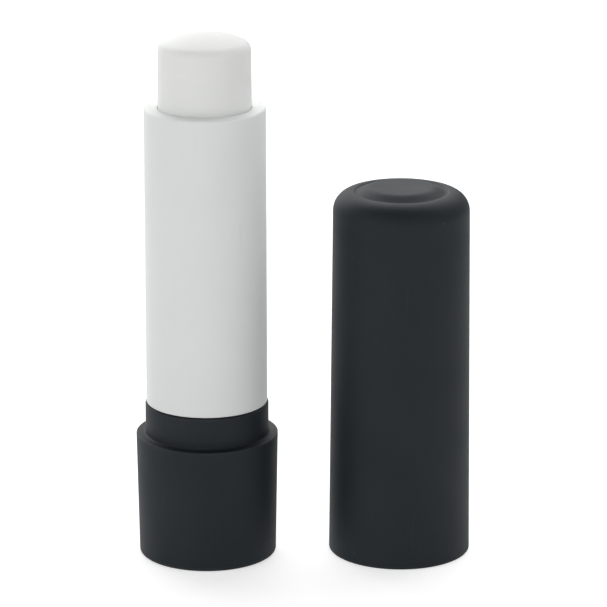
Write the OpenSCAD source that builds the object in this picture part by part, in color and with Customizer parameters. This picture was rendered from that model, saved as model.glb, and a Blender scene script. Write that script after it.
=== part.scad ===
// Lip balm stick: a twist base, a white tube, a wind-up balm and a pull-off cap.
// All sizes are in millimetres. The origin is the centre of the foot, on the surface
// that the stick stands on, and Z runs up the stick's axis.
// The balm is wound up, and the cap stands beside the stick with its mouth down.

/* [Base] */
// Diameter of the base at its shoulder and of the cap at its mouth, flush when closed
shoulder_d = 19; // [15.8:0.1:24]
// How much smaller the base's radius is at its foot than at its shoulder
base_draft = 0.3; // [0:0.05:0.6]
// Height of the base from its foot to its shoulder
base_h = 16.8; // [13:0.1:24]
// Height of the collar above the shoulder, which the cap grips
collar_h = 4.3; // [3:0.1:7]
// Wall of the collar
collar_wall = 1.0; // [0.8:0.05:1.2]
// Thickness of the base's floor
floor_t = 1.4; // [1:0.1:2]
// Depth of the hollow under the base
foot_hollow = 0.6; // [0.3:0.1:1]
// Width of the ring that the base stands on
foot_ring = 1.6; // [1:0.1:2.4]
// Radius of the rounded edge at the foot
foot_round = 0.4; // [0.2:0.05:0.5]
// Radius of the rounded edge at the shoulder
shoulder_round = 0.1; // [0.1:0.05:0.4]

/* [Tube] */
// Length of the white tube that shows above the collar
tube_h = 40.3; // [33:0.1:60]
// How much smaller the tube's radius is than the collar's
seam_step = 0.15; // [0.05:0.05:0.3]
// How much the tube's radius narrows up to its rim
tube_draft = 0.06; // [0:0.01:0.1]
// Wall of the neck that turns inside the base
neck_wall = 0.95; // [0.8:0.05:1.1]
// Radius of the rounded outer edge of the rim
rim_round = 0.3; // [0.1:0.05:0.5]
// How far the snap bead stands out of the neck
bead_out = 0.25; // [0.15:0.05:0.4]
// Height of the snap bead
bead_h = 0.9; // [0.6:0.1:1.4]
// Width of each groove that keys the carrier
key_w = 1.6; // [1.2:0.1:2.4]
// Depth of each groove
key_depth = 0.5; // [0.3:0.05:0.7]

/* [Balm] */
// How far the balm stands above the rim as shown
balm_out = 9.9; // [0:0.1:30]
// How far the balm's top lies below the rim when it is wound right down
balm_sunk = 1.8; // [0.5:0.1:4]
// Height of the balm's domed end
dome_h = 2.2; // [1.5:0.1:3]
// Radius of the dome's outer edge
dome_edge = 0.9; // [0.4:0.1:1.2]
// Length of the moulded end, which is slightly tapered
tip_h = 8; // [4:0.5:12]
// How much the moulded end narrows in radius
tip_draft = 0.12; // [0:0.02:0.2]

/* [Spindle] */
// How far the screw climbs in one turn
thread_lead = 5; // [4:0.25:7]
// Radius of the screw's core
core_r = 1.6; // [1.3:0.05:1.8]
// How far the two threads stand out of the core
thread_out = 0.75; // [0.5:0.05:0.9]
// Angle that the crest of each thread covers
crest_angle = 50; // [40:5:60]
// How far the spindle's top lies below the rim
spindle_sunk = 7.4; // [5:0.1:12]
// Height of the plain head that stops the carrier
head_h = 1.6; // [1:0.1:2.5]
// Thickness of the spindle's flange
flange_t = 1.2; // [0.8:0.1:2]
// Width across the flats of the spindle's six-sided foot
hex_w = 5.6; // [4.8:0.1:6]
// Depth of the socket that holds the foot
socket_h = 3.4; // [2.5:0.1:4.5]
// Wall of the hub round the socket, at its corners
hub_wall = 1.1; // [0.8:0.1:1.4]

/* [Carrier] */
// Height of the carrier's skirt below its platform
skirt_h = 5; // [4:0.1:7]
// Thickness of the platform under the balm
platform_t = 1.2; // [0.8:0.1:2]
// Depth of the cup above the platform that holds the balm
cup_h = 3.3; // [2:0.1:5]
// Wall of the skirt and the cup
carrier_wall = 0.8; // [0.6:0.05:1]
// Wall of the nut in the middle
nut_wall = 0.8; // [0.6:0.05:0.9]
// Height of the two thread lugs in the nut
lug_h = 1.6; // [1:0.1:2.4]
// Number of ribs in the cup that stop the balm from turning
rib_count = 4; // [3:1:6]
// Width of each rib
rib_w = 0.8; // [0.6:0.1:1.2]
// How far each rib stands into the cup
rib_out = 0.5; // [0.3:0.05:0.6]

/* [Cap] */
// Wall of the cap at its mouth
cap_wall = 1.22; // [1:0.02:1.5]
// How much smaller the cap's radius is at its shoulder than at its mouth
cap_draft = 0.45; // [0.2:0.05:0.5]
// Radius of the cap's rounded shoulder
cap_round = 2.6; // [2:0.1:3]
// Height of the plain band in the mouth that grips the collar
grip_h = 4.2; // [2.5:0.1:4.4]
// How much wider the cap is inside above that band
grip_relief = 0.15; // [0.05:0.05:0.25]
// How much the cap narrows inside up to its roof
inner_draft = 0.2; // [0.1:0.05:0.3]
// Free height between the tube's rim and the cap's roof when closed
headroom = 3.7; // [2:0.1:7]
// Thickness of the cap's roof at its crest
roof_t = 1.4; // [1.1:0.1:2]
// Width of the crest between the cap's rounded shoulder and the groove in its top
crest_w = 0.1; // [0.1:0.05:0.5]
// Width of the groove's outer side
groove_w = 0.35; // [0.3:0.05:0.5]
// Depth of the groove below the crest
groove_d = 0.2; // [0.1:0.05:0.3]
// How much the raised centre narrows in radius from the groove up to its top
centre_slope = 1.6; // [1.2:0.1:2]
// Height of the raised centre above the crest
centre_h = 0.6; // [0.3:0.05:0.8]
// Free space between the base and the cap that stands beside it
cap_space = 6.9; // [2:0.1:20]
// How far behind the stick the cap stands
cap_back = 1.1; // [-10:0.1:10]

/* [Clearances] */
// Radial play of the neck in the base, and of the flange in the tube
run_gap = 0.05; // [0.02:0.01:0.1]
// Play between the cap's grip band and the collar
grip_gap = 0.03; // [0.01:0.01:0.08]
// Radial play of the balm in the tube
balm_gap = 0.1; // [0.05:0.01:0.2]
// Radial play of the carrier in the tube
carrier_gap = 0.15; // [0.1:0.01:0.25]
// Play of the threads, the keys and the snap bead
slide_gap = 0.12; // [0.08:0.01:0.2]
// Gap between the collar and the tube's shoulder
seam_gap = 0.1; // [0.05:0.01:0.2]
// Gap left at each end of the carrier's travel
stop_gap = 0.4; // [0.2:0.05:1]
// Play where a piece is pressed or cast into another
press_gap = 0.02; // [0.01:0.01:0.05]

/* [Hidden] */
$fn = 96;

// Small steps that let one shape run into or past another
eps = 0.01;
past = 1;

// Radii, from the outside inwards
shoulder_r = shoulder_d / 2;
foot_r = shoulder_r - base_draft;
grip_r = shoulder_r - cap_wall;
collar_r = grip_r - grip_gap;
tube_r = collar_r - seam_step;
rim_r = tube_r - tube_draft;
base_bore_r = collar_r - collar_wall;
neck_r = base_bore_r - run_gap;
tube_bore_r = neck_r - neck_wall;
balm_r = tube_bore_r - balm_gap;
tip_r = balm_r - tip_draft;
carrier_r = tube_bore_r - carrier_gap;
cup_r = carrier_r - carrier_wall;
flange_r = tube_bore_r - run_gap;
crest_r = core_r + thread_out;
// The head is a little narrower than the crests, so that no two faces lie on each other
head_step = 0.08;
head_r = crest_r - head_step;
nut_bore_r = crest_r + slide_gap;
nut_r = nut_bore_r + nut_wall;
hex_corner_r = hex_w / 2 / cos(30);
hub_r = hex_corner_r + hub_wall;
key_r = tube_bore_r + key_depth;
cap_top_r = shoulder_r - cap_draft;
groove_r = cap_top_r - cap_round - crest_w;
centre_foot_r = groove_r - groove_w;
centre_r = centre_foot_r - centre_slope;

// Heights, from the foot up
floor_z = foot_hollow + floor_t;
socket_top = floor_z + socket_h;
flange_top = socket_top + flange_t;
collar_top = base_h + collar_h;
seam_z = collar_top + seam_gap;
rim_z = seam_z + tube_h;
neck_z = floor_z + stop_gap;
bead_z = neck_z + bead_h;
groove_z = bead_z - slide_gap;
groove_h = bead_h + 2 * slide_gap;
spindle_top = rim_z - spindle_sunk;
head_z = spindle_top - head_h;

// How far the lugs start above the nut's lower end
lug_lift = 0.2;
// The carrier's foot when wound right down, as shown, and when wound right up
carrier_low = flange_top + stop_gap;
balm_top_low = rim_z - balm_sunk;
carrier_z = carrier_low + balm_sunk + balm_out;
carrier_high = head_z - stop_gap - lug_lift - lug_h;
platform_z = carrier_z + skirt_h;
cup_z = platform_z + platform_t;
cup_top = cup_z + cup_h;
balm_top = balm_top_low + carrier_z - carrier_low;
key_top = carrier_high + skirt_h + stop_gap;
// The hole that the spindle leaves in the balm, with room over its tip
balm_hole_gap = 0.2;
balm_hole_over = 1;
balm_hole_top = spindle_top + balm_hole_over + carrier_z - carrier_low;

// The cap in its own heights, with 0 at its mouth
roof_z = collar_h + seam_gap + tube_h + headroom;
cap_h = roof_z + roof_t;
cap_x = shoulder_d + cap_space;

// Edges that are only slightly rounded
mouth_round = 0.2;
small_round = 0.15;
collar_round = 0.2;
cove_r = 0.25;
crest_round = 0.12;
centre_round = 0.8;
roof_round = 1.6;
// How far a fillet's strip reaches into the solid
slice_depth = 0.1;

// Colours, as seen
dark_plastic = [0.17, 0.18, 0.19];
white_plastic = [0.86, 0.87, 0.86];
plain_plastic = [0.78, 0.79, 0.78];
balm_colour = [0.88, 0.89, 0.88];

function unit(v) = v / norm(v);

// The two tangent points and the centre of a fillet at corner b, between a and c
function fillet_at(a, b, c, r) =
    let (
        u = unit(a - b),
        v = unit(c - b),
        half = acos(max(-1, min(1, u * v))) / 2,
        reach = r / tan(half)
    )
    [b + u * reach, b + v * reach, b + unit(u + v) * (r / sin(half))];

// Above 0 where an outline that runs anticlockwise turns left, at a convex corner
function turn_at(a, b, c) = (b[0] - a[0]) * (c[1] - b[1]) - (b[1] - a[1]) * (c[0] - b[0]);

// Points along the fillet of an inside corner, at most 15 degrees apart
function arc_points(fillet, r) =
    let (
        from = fillet[0] - fillet[2],
        to = fillet[1] - fillet[2],
        start = atan2(from[1], from[0]),
        sweep = (atan2(to[1], to[0]) - start + 540) % 360 - 180,
        steps = ceil(abs(sweep) / 15)
    )
    [for (k = [0:steps]) fillet[2] + r * [cos(start + sweep * k / steps), sin(start + sweep * k / steps)]];

// The strip under the arc of an outside corner's fillet. It reaches only a little way in
// from the two tangent points, so that it stays in a wall that is thinner than the fillet,
// and the polygon that cuts it out reaches well past the circle.
module fillet_slice(fillet, r) {
    middle = (fillet[0] + fillet[1]) / 2;
    centre = fillet[2];
    inner = 1 - min(slice_depth / r, 0.5);
    intersection() {
        translate(centre) circle(r, $fn = 32);
        polygon([centre + inner * (fillet[0] - centre), centre + 2 * (fillet[0] - centre),
                 centre + 4 * (middle - centre), centre + 2 * (fillet[1] - centre),
                 centre + inner * (fillet[1] - centre)]);
    }
}

// A half profile with rounded corners. Each point is [radius, height, fillet], and the
// points run anticlockwise.
module rounded_profile(points) {
    n = len(points);
    flat_points = [for (p = points) [p[0], p[1]]];
    before = [for (i = [0:n - 1]) flat_points[(i + n - 1) % n]];
    after = [for (i = [0:n - 1]) flat_points[(i + 1) % n]];
    outside = [for (i = [0:n - 1]) turn_at(before[i], flat_points[i], after[i]) > 0];
    chords = [for (i = [0:n - 1])
        let (r = points[i][2], f = fillet_at(before[i], flat_points[i], after[i], max(r, eps)))
        each (r == 0 ? [flat_points[i]] : outside[i] ? [f[0], f[1]] : arc_points(f, r))];
    union() {
        polygon(chords);
        for (i = [0:n - 1])
            if (points[i][2] > 0 && outside[i])
                fillet_slice(fillet_at(before[i], flat_points[i], after[i], points[i][2]), points[i][2]);
    }
}

module turned(points) {
    rotate_extrude() rounded_profile(points);
}

// Angle that each flank of a thread covers, and the play between a flank and a lug
flank_angle = 8;
lug_play = 10;

// The screw's section: a round core with two flat-topped threads
thread_steps = 3;
function thread_section() =
    let (crest_half = crest_angle / 2, root_half = crest_half + flank_angle)
    [for (start = [0, 180])
        each concat(
            [for (k = [0:thread_steps - 1])
                crest_r * [cos(start - crest_half + k * crest_angle / (thread_steps - 1)),
                           sin(start - crest_half + k * crest_angle / (thread_steps - 1))]],
            [for (k = [0:thread_steps])
                let (a = start + root_half + k * (180 - 2 * root_half) / thread_steps)
                core_r * [cos(a), sin(a)]])];

// The part of the groove that a lug fills, short of the thread's flanks and core
lug_half = (180 - crest_angle) / 2 - flank_angle - lug_play;
function lug_section(side) =
    concat(
        [for (a = [-lug_half:lug_half / 3:lug_half])
            (core_r + slide_gap) / cos(lug_half / 6) * [cos(side + a), sin(side + a)]],
        [for (a = [lug_half:-lug_half / 3:-lug_half])
            (nut_bore_r + nut_wall / 2) * [cos(side + a), sin(side + a)]]);

slice_angle = 22.5;
function turned_by(height) = 360 * height / thread_lead;

// A left-hand helix of any section, from height z_from up to z_to
module helix(z_from, z_to) {
    h = z_to - z_from;
    turn = turned_by(h);
    translate([0, 0, z_from])
        rotate([0, 0, -turned_by(z_from - flange_top)])
            linear_extrude(height = h, twist = turn, slices = ceil(turn / slice_angle), segments = 0, $fn = 0)
                children();
}

// Repeats a shape at every rib of the cup
rib_start = 45;
module at_ribs() {
    for (k = [0:rib_count - 1])
        rotate([0, 0, rib_start + k * 360 / rib_count])
            children();
}

module base() {
    color(dark_plastic)
    difference() {
        turned([
            [0, foot_hollow, 0],
            [foot_r - foot_ring, foot_hollow, 0],
            [foot_r - foot_ring, 0, small_round],
            [foot_r, 0, foot_round],
            [shoulder_r, base_h, shoulder_round],
            [collar_r, base_h, cove_r],
            [collar_r, collar_top, collar_round],
            [base_bore_r, collar_top, small_round],
            [base_bore_r, groove_z + groove_h, 0],
            [base_bore_r + bead_out + slide_gap - run_gap, groove_z + groove_h - bead_out, 0],
            [base_bore_r + bead_out + slide_gap - run_gap, groove_z, 0],
            [base_bore_r, groove_z, 0],
            [base_bore_r, floor_z, 0],
            [hub_r, floor_z, 0],
            [hub_r, socket_top, 0],
            [0, socket_top, 0]
        ]);
        // Six-sided socket for the spindle's foot
        translate([0, 0, floor_z])
            cylinder(h = socket_h + past, r = hex_corner_r, $fn = 6);
    }
}

module spindle() {
    color(plain_plastic)
    union() {
        translate([0, 0, floor_z])
            cylinder(h = socket_h + flange_t / 2, r = hex_corner_r - press_gap, $fn = 6);
        translate([0, 0, socket_top])
            cylinder(h = flange_t, r = flange_r);
        helix(flange_top - flange_t / 2, head_z + head_h / 4) polygon(thread_section());
        translate([0, 0, head_z])
            turned([
                [0, 0, 0],
                [head_r, 0, 0],
                [head_r, head_h, small_round],
                [0, head_h, 0]
            ]);
    }
}

module tube() {
    color(white_plastic)
    difference() {
        turned([
            [tube_bore_r, neck_z, small_round],
            [neck_r, neck_z, small_round],
            [neck_r, bead_z, 0],
            [neck_r + bead_out, bead_z, 0],
            [neck_r + bead_out, bead_z + bead_h - bead_out, 0],
            [neck_r, bead_z + bead_h, 0],
            [neck_r, seam_z, 0],
            [tube_r, seam_z, small_round],
            [rim_r, rim_z, rim_round],
            [tube_bore_r, rim_z, small_round]
        ]);
        // Two grooves that keep the carrier from turning, open at the lower end
        for (side = [0, 180])
            rotate([0, 0, side])
                translate([0, -key_w / 2, neck_z - past])
                    cube([key_r, key_w, key_top - neck_z + past]);
    }
}

module carrier() {
    key_gap_r = key_r - slide_gap;
    color(plain_plastic)
    union() {
        // Skirt and cup in one wall, with the platform across it
        turned([
            [nut_bore_r, carrier_z, 0],
            [nut_r, carrier_z, 0],
            [nut_r, platform_z, 0],
            [cup_r, platform_z, 0],
            [cup_r, carrier_z, 0],
            [carrier_r, carrier_z, small_round],
            [carrier_r, cup_top, small_round],
            [cup_r, cup_top, 0],
            [cup_r, cup_z, 0],
            [nut_bore_r, cup_z, 0]
        ]);
        // Keys that run in the tube's grooves
        for (side = [0, 180])
            rotate([0, 0, side])
                translate([cup_r + eps, -key_w / 2 + slide_gap, carrier_z])
                    cube([key_gap_r - cup_r - eps, key_w - 2 * slide_gap, skirt_h]);
        // Ribs that grip the balm
        at_ribs()
            translate([cup_r - rib_out, -rib_w / 2, cup_z - eps])
                cube([rib_out + carrier_wall / 2, rib_w, cup_h - small_round]);
        // Lugs that run in the screw's two grooves
        for (side = [90, 270])
            helix(carrier_z + lug_lift, carrier_z + lug_lift + lug_h)
                polygon(lug_section(side));
    }
}

// Half section of the balm, from its seat on the platform to its dome
module balm_profile() {
    dome_z = balm_top - dome_h;
    w = tip_r - dome_edge;
    dome_r = (w * w + dome_h * dome_h - dome_edge * dome_edge) / (2 * (dome_h - dome_edge));
    touch_x = dome_r * w / (dome_r - dome_edge);
    seat_r = cup_r - press_gap;
    polygon([
        [0, cup_z],
        [seat_r, cup_z],
        [seat_r, cup_top + press_gap],
        [balm_r, cup_top + press_gap],
        [balm_r, balm_top - tip_h],
        [tip_r, dome_z],
        [0, dome_z]
    ]);
    translate([tip_r - dome_edge, dome_z]) circle(dome_edge);
    intersection() {
        translate([0, balm_top - dome_r]) circle(dome_r, $fn = 360);
        translate([0, dome_z]) square([touch_x, dome_h + past]);
    }
}

module balm() {
    color(balm_colour)
    difference() {
        rotate_extrude()
            intersection() {
                balm_profile();
                square([shoulder_r, balm_top + past]);
            }
        translate([0, 0, cup_z - past])
            cylinder(h = balm_hole_top - cup_z + past, r = crest_r + balm_hole_gap);
        at_ribs()
            translate([cup_r - rib_out - press_gap, -rib_w / 2 - press_gap, cup_z - past])
                cube([rib_out + past, rib_w + 2 * press_gap, cup_h + past]);
    }
}

module cap() {
    relief_r = grip_r + grip_relief;
    color(dark_plastic)
    translate([cap_x, cap_back, 0])
        turned([
            [grip_r, 0, mouth_round],
            [shoulder_r, 0, mouth_round],
            [cap_top_r, cap_h, cap_round],
            [groove_r, cap_h, crest_round],
            [centre_foot_r, cap_h - groove_d, small_round],
            [centre_r, cap_h + centre_h, centre_round],
            [0, cap_h + centre_h, 0],
            [0, roof_z + centre_h, 0],
            [centre_r, roof_z + centre_h, 0],
            [centre_foot_r, roof_z, 0],
            [relief_r - inner_draft, roof_z, roof_round],
            [relief_r, grip_h + grip_relief, 0],
            [grip_r, grip_h, 0]
        ]);
}

base();
spindle();
tube();
carrier();
balm();
cap();
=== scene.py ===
import math

import bmesh
import bpy
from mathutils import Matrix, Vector, noise


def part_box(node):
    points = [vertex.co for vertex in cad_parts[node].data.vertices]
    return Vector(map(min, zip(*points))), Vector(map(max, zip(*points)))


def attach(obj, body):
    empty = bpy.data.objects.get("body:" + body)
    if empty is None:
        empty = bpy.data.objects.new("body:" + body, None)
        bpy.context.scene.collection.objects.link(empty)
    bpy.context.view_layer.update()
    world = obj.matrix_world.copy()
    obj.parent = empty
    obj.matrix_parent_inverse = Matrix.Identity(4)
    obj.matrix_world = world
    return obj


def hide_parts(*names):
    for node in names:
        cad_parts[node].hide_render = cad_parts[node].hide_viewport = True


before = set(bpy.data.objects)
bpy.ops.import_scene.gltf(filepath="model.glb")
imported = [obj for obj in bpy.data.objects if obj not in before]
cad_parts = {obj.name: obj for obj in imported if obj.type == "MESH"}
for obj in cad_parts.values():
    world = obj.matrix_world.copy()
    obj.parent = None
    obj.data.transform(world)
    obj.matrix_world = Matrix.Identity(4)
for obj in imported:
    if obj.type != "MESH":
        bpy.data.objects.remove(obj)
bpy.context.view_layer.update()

print("the packed lip balm stick is loaded")

mm = 0.001
scene = bpy.context.scene

# How finely the turned pieces are drawn
turnSteps = 144      # points round each ring, 2.5 degrees apart
wideFillet = 1.0     # millimetres, above which a fillet has the finer steps
wideStep = 7         # degrees of arc
narrowStep = 15
fewestSteps = 4      # in any fillet
wornFillet = 0.5     # millimetres, up to which handling wears an outer edge
edgeGap = 0.2        # millimetres from a corner to the first point added beside it
hardEdge = 28        # degrees, above which an edge stays crisp
onAxis = 1e-6        # millimetres, below which a ring is one point
samePlace = 1e-7     # metres, within which two points become one


# Corners of a half section: radius, height and fillet in millimetres, and the shape that the
# ring takes there. The solid lies on the left of the line from one corner to the next.

def cornerArc(before, corner, after, fillet):
    a, b, c = Vector(before), Vector(corner), Vector(after)
    u, v = (a - b).normalized(), (c - b).normalized()
    half = math.acos(max(-1.0, min(1.0, u.dot(v)))) / 2
    centre = b + (u + v).normalized() * fillet / math.sin(half)
    start = b + u * fillet / math.tan(half) - centre
    end = b + v * fillet / math.tan(half) - centre
    first = math.atan2(start.y, start.x)
    sweep = (math.atan2(end.y, end.x) - first + math.pi) % (2 * math.pi) - math.pi
    arcStep = math.radians(wideStep if fillet > wideFillet else narrowStep)
    steps = max(fewestSteps, round(abs(sweep) / arcStep))
    angles = [first + sweep * k / steps for k in range(steps + 1)]
    return [(centre.x + fillet * math.cos(t), centre.y + fillet * math.sin(t)) for t in angles]


def roundedLine(corners, closed):
    points = []  # radius, height, wear, ring shape
    count = len(corners)
    for i, (r, z, fillet, ring) in enumerate(corners):
        if not fillet:
            points.append((r, z, 0.0, ring))
            continue
        before, after = corners[i - 1][:2], corners[(i + 1) % count][:2]
        bulges = (r - before[0]) * (after[1] - z) - (z - before[1]) * (after[0] - r) > 0
        wear = 1.0 if bulges and fillet <= wornFillet else 0.0
        points += [(x, y, wear, ring) for x, y in cornerArc(before, (r, z), after, fillet)]
    return points + points[:1] if closed else points


def addedPoints(points, longest):
    # short steps beside each corner keep the shading of flats and fillets apart
    out = [points[0]]
    for (r0, z0, wear0, ring0), (r1, z1, wear1, ring1) in zip(points, points[1:]):
        length = math.hypot(r1 - r0, z1 - z0)
        if length > 4 * edgeGap:
            inner = max(1, math.ceil((length - 2 * edgeGap) / longest))
            step = (length - 2 * edgeGap) / inner
            ring = ring0 if ring0 == ring1 else None
            for k in range(inner + 1):
                f = (edgeGap + k * step) / length
                out.append((r0 + (r1 - r0) * f, z0 + (z1 - z0) * f, 0.0, ring))
        out.append((r1, z1, wear1, ring1))
    return out


def roundPoint(r, step):
    angle = math.radians(360 * step / turnSteps)
    return r * math.cos(angle), r * math.sin(angle)


def hexagonPoint(r, step):
    # r is the distance to a corner
    sixth = math.radians(60)
    angle = math.radians(360 * step / turnSteps)
    reach = r * math.cos(sixth / 2) / math.cos(angle % sixth - sixth / 2)
    return reach * math.cos(angle), reach * math.sin(angle)


def notchedPoint(r, step, notch):
    # a ring with straight-sided notches, each a whole number of steps wide
    pitch = turnSteps // notch["count"]
    offset = (step - notch["firstStep"] + pitch // 2) % pitch - pitch // 2
    edge = notch["halfSteps"]
    if abs(offset) > edge:
        return roundPoint(r, step)
    middle = math.radians(360 * (step - offset) / turnSteps)
    side = notch["halfWidth"] * math.copysign(min(abs(offset), edge - 1) / (edge - 1), offset)
    along = notch["bottom"]
    if abs(offset) == edge:
        along = math.sqrt(r * r - notch["halfWidth"] ** 2)
    return (along * math.cos(middle) - side * math.sin(middle),
            along * math.sin(middle) + side * math.cos(middle))


def turnedPiece(name, corners, rings, closed=False, axis=(0.0, 0.0), longest=4.0):
    points = addedPoints(roundedLine(corners, closed), longest)
    if closed:
        points.pop()
    mesh = bpy.data.meshes.new(name)
    shape = bmesh.new()
    wearLayer = shape.verts.layers.float.new("edgeWear")
    rows = []
    for r, z, wear, ring in points:
        pointOn = rings.get(ring, roundPoint)
        places = [(0.0, 0.0)] if r < onAxis else [pointOn(r, step) for step in range(turnSteps)]
        row = [shape.verts.new((x * mm, y * mm, z * mm)) for x, y in places]
        for vert in row:
            vert[wearLayer] = wear
        rows.append(row)
    for low, high in zip(rows, rows[1:] + rows[:1] if closed else rows[1:]):
        for k in range(turnSteps):
            n = (k + 1) % turnSteps
            if len(low) == 1:
                loop = (low[0], high[n], high[k])
            elif len(high) == 1:
                loop = (low[k], low[n], high[0])
            else:
                loop = (low[k], low[n], high[n], high[k])
            shape.faces.new(loop)
    bmesh.ops.remove_doubles(shape, verts=shape.verts, dist=samePlace)  # where two rings meet in part
    bmesh.ops.recalc_face_normals(shape, faces=shape.faces)
    for face in shape.faces:
        face.smooth = True
    for edge in shape.edges:
        if len(edge.link_faces) == 2 and edge.calc_face_angle() > math.radians(hardEdge):
            edge.smooth = False
    shape.to_mesh(mesh)
    shape.free()
    piece = bpy.data.objects.new(name, mesh)
    piece.location = (axis[0] * mm, axis[1] * mm, 0)
    scene.collection.objects.link(piece)
    return piece


def standsFor(piece, node, body):
    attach(piece, body)
    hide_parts(node)
    low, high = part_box(node)
    corners = [piece.matrix_world @ Vector(corner) for corner in piece.bound_box]
    off = 0.0
    for i in range(3):
        places = [corner[i] for corner in corners]
        off = max(off, abs(min(places) - low[i]), abs(max(places) - high[i]))
    print(f"{piece.name} stands for {node}, its box within {off / mm:.3f} mm")


# Shader nodes

def addNode(tree, kind, values=None, **settings):
    node = tree.nodes.new(kind)
    for key, value in settings.items():
        setattr(node, key, value)
    for key, value in (values or {}).items():
        if isinstance(value, bpy.types.NodeSocket):
            tree.links.new(value, node.inputs[key])
        else:
            node.inputs[key].default_value = value
    return node


def maths(tree, operation, first, second=0.0, clamp=False):
    values = {0: first, 1: second}
    return addNode(tree, "ShaderNodeMath", values, operation=operation, use_clamp=clamp).outputs[0]


def plusMask(tree, value, mask, amount, clamp=False):
    return maths(tree, "ADD", value, maths(tree, "MULTIPLY", mask, amount), clamp=clamp)


def remap(tree, value, low, high, toLow=0.0, toHigh=1.0):
    values = {"Value": value, "From Min": low, "From Max": high, "To Min": toLow, "To Max": toHigh}
    return addNode(tree, "ShaderNodeMapRange", values).outputs["Result"]


def mixColour(tree, factor, first, second):
    # the Mix node's sockets for colours: 0 is the factor, 6 and 7 the colours, 2 the result
    first, second = [(*c, 1.0) if isinstance(c, tuple) else c for c in (first, second)]
    return addNode(tree, "ShaderNodeMix", {0: factor, 6: first, 7: second}, data_type="RGBA").outputs[2]


def newGroup(name, inputs, outputs):
    # an input of None is a vector, and the rest are numbers with their defaults
    group = bpy.data.node_groups.new(name, "ShaderNodeTree")
    for label, default in inputs.items():
        kind = "NodeSocketVector" if default is None else "NodeSocketFloat"
        socket = group.interface.new_socket(label, in_out="INPUT", socket_type=kind)
        if default is not None:
            socket.default_value = default
    for label in outputs:
        group.interface.new_socket(label, in_out="OUTPUT", socket_type="NodeSocketFloat")
    return group, group.nodes.new("NodeGroupInput"), group.nodes.new("NodeGroupOutput")


def finishMask(group, into, out, first, second):
    both = maths(group, "MULTIPLY", first, second)
    mask = maths(group, "MULTIPLY", both, into.outputs["Amount"], clamp=True)
    group.links.new(mask, out.inputs["Mask"])
    return group


def placeGroup(tree, group, where, values):
    return addNode(tree, "ShaderNodeGroup", {"Coordinates": where, **values}, node_tree=group).outputs


def mouldedGrainGroup():
    # fine spark-eroded grain of a mould, and slow flow marks in the plastic
    group, into, out = newGroup(
        "mouldedGrain", {"Coordinates": None, "Scale": 160.0, "Fine Scale": 3200.0}, ("Height", "Flow"))
    fineShare, broadShare = 0.8, 0.2  # of the height
    flowLow, flowHigh = 0.3, 0.7      # the span of the broad noise that makes the flow marks
    where = into.outputs["Coordinates"]
    fine = addNode(group, "ShaderNodeTexNoise", {
        "Vector": where, "Scale": into.outputs["Fine Scale"], "Detail": 3.0, "Roughness": 0.65})
    broad = addNode(group, "ShaderNodeTexNoise", {
        "Vector": where, "Scale": into.outputs["Scale"], "Detail": 4.0, "Roughness": 0.5, "Distortion": 0.6})
    height = maths(group, "MULTIPLY", fine.outputs["Fac"], fineShare)
    height = plusMask(group, height, broad.outputs["Fac"], broadShare)
    group.links.new(height, out.inputs["Height"])
    group.links.new(remap(group, broad.outputs["Fac"], flowLow, flowHigh), out.inputs["Flow"])
    return group


def fineScuffsGroup():
    # hairline rubs along the axis, in patches
    group, into, out = newGroup(
        "fineScuffs", {"Coordinates": None, "Scale": 2600.0, "Stretch": 0.03, "Amount": 0.5}, ("Mask",))
    hairLow, hairHigh = 0.60, 0.74    # spans of the two noises that count
    patchLow, patchHigh = 0.45, 0.62
    patchScale = 260.0
    where = into.outputs["Coordinates"]
    squeeze = addNode(group, "ShaderNodeCombineXYZ", {0: 1.0, 1: 1.0, 2: into.outputs["Stretch"]})
    stretched = addNode(group, "ShaderNodeVectorMath", {0: where, 1: squeeze.outputs[0]},
                        operation="MULTIPLY")
    lines = addNode(group, "ShaderNodeTexNoise", {
        "Vector": stretched.outputs[0], "Scale": into.outputs["Scale"], "Detail": 2.0, "Roughness": 0.7})
    patches = addNode(group, "ShaderNodeTexNoise", {"Vector": where, "Scale": patchScale, "Detail": 3.0})
    hair = remap(group, lines.outputs["Fac"], hairLow, hairHigh)
    patch = remap(group, patches.outputs["Fac"], patchLow, patchHigh)
    return finishMask(group, into, out, hair, patch)


def wornEdgeGroup():
    # the rounded edges, broken up, where handling has polished them
    group, into, out = newGroup(
        "wornEdge", {"Coordinates": None, "Scale": 420.0, "Amount": 0.6}, ("Mask",))
    breakLow, breakHigh, leastWear = 0.35, 0.65, 0.25
    edge = addNode(group, "ShaderNodeAttribute", attribute_name="edgeWear")
    breakUp = addNode(group, "ShaderNodeTexNoise", {
        "Vector": into.outputs["Coordinates"], "Scale": into.outputs["Scale"], "Detail": 4.0})
    broken = remap(group, breakUp.outputs["Fac"], breakLow, breakHigh, toLow=leastWear)
    return finishMask(group, into, out, edge.outputs["Fac"], broken)


def dustSpecksGroup():
    # a small dot in some of the cells
    group, into, out = newGroup(
        "dustSpecks", {"Coordinates": None, "Scale": 420.0, "Size": 0.06, "Amount": 0.4}, ("Mask",))
    emptyShare = 0.6  # of the cells
    cells = addNode(group, "ShaderNodeTexVoronoi", {
        "Vector": into.outputs["Coordinates"], "Scale": into.outputs["Scale"], "Randomness": 1.0})
    dot = maths(group, "LESS_THAN", cells.outputs["Distance"], into.outputs["Size"])
    chance = addNode(group, "ShaderNodeSeparateColor", {"Color": cells.outputs["Color"]})
    some = maths(group, "GREATER_THAN", chance.outputs[0], emptyShare)
    return finishMask(group, into, out, dot, some)


mouldedGrain = mouldedGrainGroup()
fineScuffs = fineScuffsGroup()
wornEdge = wornEdgeGroup()
dustSpecks = dustSpecksGroup()


def newMaterial(name):
    material = bpy.data.materials.new(name)
    material.use_nodes = True
    return material, material.node_tree, material.node_tree.nodes["Principled BSDF"]


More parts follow.
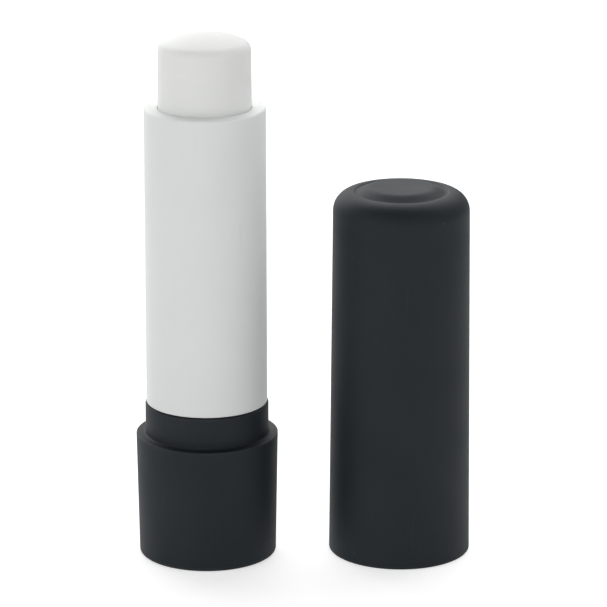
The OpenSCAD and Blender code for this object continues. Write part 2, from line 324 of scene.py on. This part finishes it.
def setConstants(shader, constants):
    for label, value in constants.items():
        shader.inputs[label].default_value = value


def flowRoughness(tree, flow, look):
    low = look["roughness"] - look["roughnessSpread"]
    high = look["roughness"] + look["roughnessSpread"]
    return remap(tree, flow, 0.0, 1.0, low, high)


def linkFinish(tree, shader, look, colour, rough, height):
    bump = addNode(tree, "ShaderNodeBump", {
        "Strength": look["bumpStrength"], "Distance": look["bumpDistance"], "Height": height})
    tree.links.new(colour, shader.inputs["Base Color"])
    tree.links.new(rough, shader.inputs["Roughness"])
    tree.links.new(bump.outputs["Normal"], shader.inputs["Normal"])
    setConstants(shader, look["constants"])


def plasticMaterial(name, look):
    material, tree, shader = newMaterial(name)
    where = addNode(tree, "ShaderNodeTexCoord").outputs["Object"]
    grain = placeGroup(tree, mouldedGrain, where, {
        "Scale": look["flowScale"], "Fine Scale": look["grainScale"]})
    scuffs = placeGroup(tree, fineScuffs, where, {
        "Scale": look["scuffScale"], "Stretch": look["scuffStretch"], "Amount": look["scuffAmount"]})
    worn = placeGroup(tree, wornEdge, where, {
        "Scale": look["wearScale"], "Amount": look["wearAmount"]})
    dust = placeGroup(tree, dustSpecks, where, {
        "Scale": look["dustScale"], "Size": look["dustSize"], "Amount": look["dustAmount"]})
    colour = mixColour(tree, grain["Flow"], look["colour"], look["flowColour"])
    colour = mixColour(tree, worn["Mask"], colour, look["wornColour"])
    colour = mixColour(tree, scuffs["Mask"], colour, look["scuffColour"])
    colour = mixColour(tree, dust["Mask"], colour, look["dustColour"])
    rough = flowRoughness(tree, grain["Flow"], look)
    rough = plusMask(tree, rough, scuffs["Mask"], look["scuffRoughness"])
    rough = plusMask(tree, rough, worn["Mask"], look["wornRoughness"], clamp=True)
    height = plusMask(tree, grain["Height"], scuffs["Mask"], -look["scuffDepth"])
    linkFinish(tree, shader, look, colour, rough, height)
    return material


def waxMaterial(name, look):
    material, tree, shader = newMaterial(name)
    where = addNode(tree, "ShaderNodeTexCoord").outputs["Object"]
    cloud = placeGroup(tree, mouldedGrain, where, {
        "Scale": look["cloudScale"], "Fine Scale": look["skinScale"]})
    drag = placeGroup(tree, fineScuffs, where, {
        "Scale": look["dragScale"], "Stretch": look["dragStretch"], "Amount": look["dragAmount"]})
    pits = placeGroup(tree, dustSpecks, where, {
        "Scale": look["pitScale"], "Size": look["pitSize"], "Amount": look["pitAmount"]})
    colour = mixColour(tree, cloud["Flow"], look["colour"], look["cloudColour"])
    colour = mixColour(tree, pits["Mask"], colour, look["pitColour"])
    rough = flowRoughness(tree, cloud["Flow"], look)
    rough = plusMask(tree, rough, drag["Mask"], look["dragRoughness"])
    height = plusMask(tree, cloud["Height"], drag["Mask"], -look["dragDepth"])
    height = plusMask(tree, height, pits["Mask"], -look["pitDepth"])
    linkFinish(tree, shader, look, colour, rough, height)
    return material


# Finishes: linear colours, noise scales to the metre, bump distances in metres, and the depths
# of scuffs, drag lines and pits as shares of the bump distance

darkPlastic = {
    "colour": (0.0030, 0.0075, 0.0118),
    "flowColour": (0.0042, 0.0088, 0.0132),
    "wornColour": (0.030, 0.034, 0.036),
    "scuffColour": (0.022, 0.025, 0.027),
    "dustColour": (0.12, 0.12, 0.12),
    "flowScale": 130.0,
    "grainScale": 5200.0,
    "scuffScale": 2400.0,
    "scuffStretch": 0.03,
    "scuffAmount": 0.30,
    "scuffRoughness": 0.06,
    "scuffDepth": 0.3,
    "wearScale": 420.0,
    "wearAmount": 0.35,
    "wornRoughness": -0.06,
    "dustScale": 330.0,
    "dustSize": 0.035,
    "dustAmount": 0.25,
    "roughness": 0.68,
    "roughnessSpread": 0.03,
    "bumpStrength": 0.12,
    "bumpDistance": 0.00004,
    "constants": {"Specular IOR Level": 0.34},
}

whitePlastic = {
    "colour": (0.82, 0.838, 0.828),
    "flowColour": (0.80, 0.818, 0.808),
    "wornColour": (0.84, 0.85, 0.84),
    "scuffColour": (0.74, 0.75, 0.74),
    "dustColour": (0.45, 0.45, 0.44),
    "flowScale": 90.0,
    "grainScale": 4600.0,
    "scuffScale": 2200.0,
    "scuffStretch": 0.04,
    "scuffAmount": 0.35,
    "scuffRoughness": 0.12,
    "scuffDepth": 0.3,
    "wearScale": 420.0,
    "wearAmount": 0.4,
    "wornRoughness": -0.05,
    "dustScale": 300.0,
    "dustSize": 0.03,
    "dustAmount": 0.25,
    "roughness": 0.55,
    "roughnessSpread": 0.03,
    "bumpStrength": 0.10,
    "bumpDistance": 0.00004,
    "constants": {"Specular IOR Level": 0.25, "Subsurface Weight": 0.12, "Subsurface Scale": 0.0012,
                  "Subsurface Radius": (1.0, 0.95, 0.9)},
}

# the spindle and the carrier: a duller white, with no dust
innerPlastic = {
    **whitePlastic,
    "colour": (0.62, 0.63, 0.61),
    "flowColour": (0.56, 0.57, 0.55),
    "scuffColour": (0.5, 0.5, 0.48),
    "dustAmount": 0.0,
    "roughness": 0.5,
    "constants": {"Specular IOR Level": 0.45, "Subsurface Weight": 0.25, "Subsurface Scale": 0.0015,
                  "Subsurface Radius": (1.0, 0.95, 0.88)},
}

balmWax = {
    "colour": (0.86, 0.868, 0.855),
    "cloudColour": (0.84, 0.85, 0.835),
    "pitColour": (0.66, 0.66, 0.64),
    "cloudScale": 220.0,
    "skinScale": 900.0,
    "dragScale": 1500.0,
    "dragStretch": 0.05,
    "dragAmount": 0.4,
    "dragRoughness": 0.1,
    "dragDepth": 0.4,
    "pitScale": 520.0,
    "pitSize": 0.05,
    "pitAmount": 0.3,
    "pitDepth": 0.8,
    "roughness": 0.60,
    "roughnessSpread": 0.05,
    "bumpStrength": 0.22,
    "bumpDistance": 0.00012,
    "constants": {"Specular IOR Level": 0.1, "Subsurface Weight": 0.35, "Subsurface Scale": 0.002,
                  "Subsurface Radius": (1.0, 0.92, 0.85)},
}

darkFinish = plasticMaterial("darkPlastic", darkPlastic)
whiteFinish = plasticMaterial("whitePlastic", whitePlastic)
innerFinish = plasticMaterial("innerPlastic", innerPlastic)
waxFinish = waxMaterial("balmWax", balmWax)
print("the four finishes are built")


# Base: turned shell with its snap groove, hub and six-sided socket, in millimetres as every
# piece here is

base = {
    "footRadius": 9.2,
    "shoulderRadius": 9.5,
    "shoulderHeight": 16.8,
    "collarRadius": 8.25,
    "collarHeight": 21.1,
    "boreRadius": 7.25,
    "grooveRadius": 7.57,
    "grooveLow": 3.18,
    "grooveRamp": 4.07,
    "grooveHigh": 4.32,
    "floorHeight": 2.0,
    "hubRadius": 4.333,
    "hubHeight": 5.4,
    "socketCorner": 3.233,
    "hollow": 0.6,            # under the foot, inside its ring
    "ringInner": 7.6,
    "gateRadius": 0.6,        # the moulding gate's mark, in a dimple
    "gateHeight": 0.05,
    "gateSlope": 0.1,
    "gateFillet": 0.05,
    "dimpleRadius": 1.6,
    "dimpleDepth": 0.15,
    "dimpleSlope": 0.3,
    "dimpleFillet": 0.1,
    "ringFillet": 0.2,
    "footFillet": 0.4,
    "shoulderFillet": 0.1,
    "coveFillet": 0.25,
    "collarFillet": 0.2,
    "smallFillet": 0.15,
}


def buildBase(size):
    hollow = size["hollow"]
    gateTop, dimpleTop = hollow + size["gateHeight"], hollow + size["dimpleDepth"]
    corners = [
        (0, gateTop, 0, None),
        (size["gateRadius"], gateTop, size["gateFillet"], None),
        (size["gateRadius"] + size["gateSlope"], dimpleTop, 0, None),
        (size["dimpleRadius"], dimpleTop, size["dimpleFillet"], None),
        (size["dimpleRadius"] + size["dimpleSlope"], hollow, size["dimpleFillet"], None),
        (size["ringInner"], hollow, size["ringFillet"], None),
        (size["ringInner"], 0, size["smallFillet"], None),
        (size["footRadius"], 0, size["footFillet"], None),
        (size["shoulderRadius"], size["shoulderHeight"], size["shoulderFillet"], None),
        (size["collarRadius"], size["shoulderHeight"], size["coveFillet"], None),
        (size["collarRadius"], size["collarHeight"], size["collarFillet"], None),
        (size["boreRadius"], size["collarHeight"], size["smallFillet"], None),
        (size["boreRadius"], size["grooveHigh"], 0, None),
        (size["grooveRadius"], size["grooveRamp"], 0, None),
        (size["grooveRadius"], size["grooveLow"], 0, None),
        (size["boreRadius"], size["grooveLow"], 0, None),
        (size["boreRadius"], size["floorHeight"], 0, None),
        (size["hubRadius"], size["floorHeight"], 0, None),
        (size["hubRadius"], size["hubHeight"], 0, None),
        (size["socketCorner"], size["hubHeight"], 0, "socket"),
        (size["socketCorner"], size["floorHeight"], 0, "socket"),
        (0, size["floorHeight"], 0, None),
    ]
    piece = turnedPiece("baseShell", corners, {"socket": hexagonPoint})
    piece.data.materials.append(darkFinish)
    standsFor(piece, "base", "base")


buildBase(base)


# Tube: neck with its snap bead, and a bore with two grooves for the carrier's keys

tube = {
    "boreRadius": 6.25,
    "neckRadius": 7.2,
    "neckLow": 2.4,
    "beadRadius": 7.45,
    "beadLow": 3.3,
    "beadRamp": 3.95,
    "beadHigh": 4.2,
    "shoulderHeight": 21.2,
    "shoulderRadius": 8.1,
    "rimRadius": 8.04,
    "rimHeight": 61.5,
    "rimFillet": 0.3,
    "mouthFillet": 0.05,
    "smallFillet": 0.15,
    "keyTop": 55.7,
    "key": {"count": 2, "firstStep": 0, "halfSteps": 3, "halfWidth": 0.8, "bottom": 6.75},
}


def buildTube(size):
    corners = [
        (size["boreRadius"], size["neckLow"], size["smallFillet"], "keyed"),
        (size["neckRadius"], size["neckLow"], size["smallFillet"], None),
        (size["neckRadius"], size["beadLow"], 0, None),
        (size["beadRadius"], size["beadLow"], 0, None),
        (size["beadRadius"], size["beadRamp"], 0, None),
        (size["neckRadius"], size["beadHigh"], 0, None),
        (size["neckRadius"], size["shoulderHeight"], 0, None),
        (size["shoulderRadius"], size["shoulderHeight"], size["smallFillet"], None),
        (size["rimRadius"], size["rimHeight"], size["rimFillet"], None),
        (size["boreRadius"], size["rimHeight"], size["mouthFillet"], None),
        (size["boreRadius"], size["keyTop"], 0, None),
        (size["boreRadius"], size["keyTop"], 0, "keyed"),
    ]
    rings = {"keyed": lambda r, step: notchedPoint(r, step, size["key"])}
    piece = turnedPiece("tubeBody", corners, rings, closed=True)
    piece.data.materials.append(whiteFinish)
    standsFor(piece, "tube", "tube")


buildTube(tube)


# Cap: a raised centre in a shallow groove, a rounded shoulder and a grip band in the mouth

cap = {
    "mouthRadius": 9.5,
    "topRadius": 9.05,
    "height": 49.8,
    "shoulderFillet": 2.6,
    "grooveRadius": 6.35,
    "grooveDepth": 0.2,
    "centreFoot": 6.0,
    "centreRadius": 4.4,
    "centreHeight": 0.6,
    "centreFillet": 2.0,
    "crestFillet": 0.45,
    "grooveFillet": 0.5,
    "gripRadius": 8.28,
    "gripHeight": 4.2,
    "relief": 0.15,           # how far the wall stands back above the grip band
    "roofHeight": 48.4,
    "roofRadius": 8.23,
    "roofFillet": 1.6,
    "mouthFillet": 0.2,
}


def buildCap(size):
    top, roof = size["height"], size["roofHeight"]
    corners = [
        (0, roof + size["centreHeight"], 0, None),
        (size["centreRadius"], roof + size["centreHeight"], 0, None),
        (size["centreFoot"], roof, 0, None),
        (size["roofRadius"], roof, size["roofFillet"], None),
        (size["gripRadius"] + size["relief"], size["gripHeight"] + size["relief"], 0, None),
        (size["gripRadius"], size["gripHeight"], 0, None),
        (size["gripRadius"], 0, size["mouthFillet"], None),
        (size["mouthRadius"], 0, size["mouthFillet"], None),
        (size["topRadius"], top, size["shoulderFillet"], None),
        (size["grooveRadius"], top, size["crestFillet"], None),
        (size["centreFoot"], top - size["grooveDepth"], size["grooveFillet"], None),
        (size["centreRadius"], top + size["centreHeight"], size["centreFillet"], None),
        (0, top + size["centreHeight"], 0, None),
    ]
    low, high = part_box("cap")
    axis = ((low.x + high.x) / 2 / mm, (low.y + high.y) / 2 / mm)
    piece = turnedPiece("capShell", corners, {}, axis=axis)
    piece.data.materials.append(darkFinish)
    standsFor(piece, "cap", "cap")


buildCap(cap)


# Balm: a moulded end with a slight taper and a shallow dome, cast round the carrier's ribs

balm = {
    "radius": 6.2,
    "tipRadius": 6.13,
    "tipHeight": 8.0,         # the taper's length below the top
    "domeHeight": 2.2,
    "domeEdge": 1.2,
    "edgeSteps": 10,
    "crownSteps": 26,
    "seatRadius": 5.28,
    "seatLow": 24.9,
    "seatHigh": 28.22,
    "holeRadius": 2.55,
    "holeTop": 66.8,
    "rib": {"count": 4, "firstStep": 18, "halfSteps": 2, "halfWidth": 0.42, "bottom": 4.78},
    "longest": 0.5,           # between rings, so that the skin can be uneven
    "unevenDepth": 0.035,
    "unevenScale": 0.35,
    "evenHeight": 1.0,        # above the seat, and beyond the hole, where the skin stays true
    "evenWall": 0.5,
}


def domeLine(size, foot):
    # a small arc at the side, tangent to one wide arc across the top
    rise, edge = size["domeHeight"], size["domeEdge"]
    edgeSteps, crownSteps = size["edgeSteps"], size["crownSteps"]
    w = size["tipRadius"] - edge
    wide = (w * w + rise * rise - edge * edge) / (2 * (rise - edge))
    centre = foot + rise - wide
    lean = math.atan2(w, foot - centre)
    sideAngles = [(math.pi / 2 - lean) * k / edgeSteps for k in range(edgeSteps + 1)]
    crownAngles = [lean * (1 - k / crownSteps) for k in range(1, crownSteps + 1)]
    side = [(w + edge * math.cos(t), foot + edge * math.sin(t)) for t in sideAngles]
    crown = [(wide * math.sin(t), centre + wide * math.cos(t)) for t in crownAngles]
    crown[-1] = (0.0, foot + rise)
    return side + crown


def buildBalm(size):
    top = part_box("balm")[1].z / mm
    foot = top - size["domeHeight"]
    corners = [
        (0, size["holeTop"], 0, None),
        (size["holeRadius"], size["holeTop"], 0, None),
        (size["holeRadius"], size["seatLow"], 0, None),
        (size["seatRadius"], size["seatLow"], 0, "ribbed"),
        (size["seatRadius"], size["seatHigh"], 0, "ribbed"),
        (size["radius"], size["seatHigh"], 0, None),
        (size["radius"], top - size["tipHeight"], 0, None),
    ]
    corners += [(r, z, 0, None) for r, z in domeLine(size, foot)]
    rings = {"ribbed": lambda r, step: notchedPoint(r, step, size["rib"])}
    piece = turnedPiece("balmStick", corners, rings, longest=size["longest"])
    mesh = piece.data
    # wax cools a little unevenly, so its skin sinks by hundredths of a millimetre
    lowest = size["seatHigh"] + size["evenHeight"]
    innermost = size["holeRadius"] + size["evenWall"]
    skin = []
    for vert in mesh.vertices:
        place = vert.co / mm
        outside = place.z > lowest and math.hypot(place.x, place.y) > innermost
        sink = 0.0  # from 0 to 1
        if outside or place.z > foot:
            sink = 0.5 + 0.5 * noise.noise(place * size["unevenScale"])
        skin.extend(vert.co - vert.normal * sink * size["unevenDepth"] * mm)
    mesh.vertices.foreach_set("co", skin)
    mesh.update()
    mesh.materials.append(waxFinish)
    standsFor(piece, "balm", "carrier")


buildBalm(balm)

for node in ("spindle", "carrier"):
    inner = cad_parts[node].data
    inner.materials.clear()
    inner.materials.append(innerFinish)
print("every piece is made and rides on its body")


# Stage: a pale floor, and a surround of broad soft glows that lights everything

stage = {
    "floorSize": 40.0,        # metres, so that low views don't look past its edge
    "floorDrop": 0.00005,
    "floorColour": 0.72,
    "floorRoughness": 0.95,
    "floorLift": 0.57,        # what the camera and reflections see on top, so that the floor is white
    # where each glow is brightest, how narrow it is and how strong
    "glows": {
        "leftGlow": {"towards": (-0.98, 0.0, 0.17), "sharpness": 6.0, "strength": 0.30},
        "frontLeftGlow": {"towards": (-0.70, -0.70, 0.17), "sharpness": 6.0, "strength": 1.98},
        "frontRightGlow": {"towards": (0.70, -0.70, 0.17), "sharpness": 6.0, "strength": 1.26},
        "rightGlow": {"towards": (0.77, 0.0, 0.64), "sharpness": 6.0, "strength": 0.32},
        "overheadGlow": {"towards": (0.0, 0.71, 0.71), "sharpness": 25.0, "strength": 5.0},
        "overheadLeftGlow": {"towards": (-0.5, 0.5, 0.71), "sharpness": 25.0, "strength": 0.68},
        "overheadRightGlow": {"towards": (0.5, 0.5, 0.71), "sharpness": 25.0, "strength": 3.8},
        "behindGlow": {"towards": (0.0, 0.93, 0.37), "sharpness": 25.0, "strength": 1.44},
        "behindLeftGlow": {"towards": (-0.53, 0.76, 0.37), "sharpness": 25.0, "strength": 5.8},
    },
}


def addFloor(look):
    mesh = bpy.data.meshes.new("studioFloor")
    half, z = look["floorSize"] / 2, -look["floorDrop"]
    corners = [(-half, -half, z), (half, -half, z), (half, half, z), (-half, half, z)]
    mesh.from_pydata(corners, [], [(0, 1, 2, 3)])
    floor = bpy.data.objects.new("studioFloor", mesh)
    scene.collection.objects.link(floor)
    material, tree, shader = newMaterial("floorPaper")
    setConstants(shader, {
        "Base Color": (*[look["floorColour"]] * 3, 1.0),
        "Roughness": look["floorRoughness"],
        "Specular IOR Level": 0.0,
        "Emission Color": (1.0, 1.0, 1.0, 1.0),
    })
    path = addNode(tree, "ShaderNodeLightPath").outputs
    seen = maths(tree, "MAXIMUM", path["Is Camera Ray"], path["Is Glossy Ray"])
    seen = maths(tree, "MAXIMUM", seen, path["Is Transmission Ray"])
    tree.links.new(maths(tree, "MULTIPLY", seen, look["floorLift"]), shader.inputs["Emission Strength"])
    mesh.materials.append(material)


def addSurround(look):
    world = bpy.data.worlds.new("studioSurround")
    scene.world = world
    world.use_nodes = True
    tree = world.node_tree
    direction = addNode(tree, "ShaderNodeTexCoord").outputs["Generated"]
    total = 0.0
    for name, glow in look["glows"].items():
        towards = tuple(Vector(glow["towards"]).normalized())
        facing = addNode(tree, "ShaderNodeVectorMath", {0: direction, 1: towards},
                         operation="DOT_PRODUCT", label=name)
        fall = maths(tree, "SUBTRACT", facing.outputs["Value"], 1.0)
        level = maths(tree, "EXPONENT", maths(tree, "MULTIPLY", fall, glow["sharpness"]))
        total = plusMask(tree, total, level, glow["strength"])
    background = tree.nodes["Background"]
    background.inputs["Color"].default_value = (1.0, 1.0, 1.0, 1.0)
    tree.links.new(total, background.inputs["Strength"])


addFloor(stage)
addSurround(stage)


# Camera, at the photograph's height and angle

camera = {
    "place": (0.01294, -0.480, 0.177),  # metres
    "tiltDown": 16.5213,                # degrees
    "lens": 223.2,
    "sensor": 36.0,
}


def addCamera(look):
    data = bpy.data.cameras.new("studioCamera")
    data.sensor_width = look["sensor"]
    data.lens = look["lens"]
    viewer = bpy.data.objects.new("studioCamera", data)
    viewer.location = look["place"]
    viewer.rotation_euler = (math.radians(90 - look["tiltDown"]), 0, 0)
    scene.collection.objects.link(viewer)
    scene.camera = viewer


addCamera(camera)
scene.view_settings.view_transform = "Standard"
print("the floor, surround and camera are set")
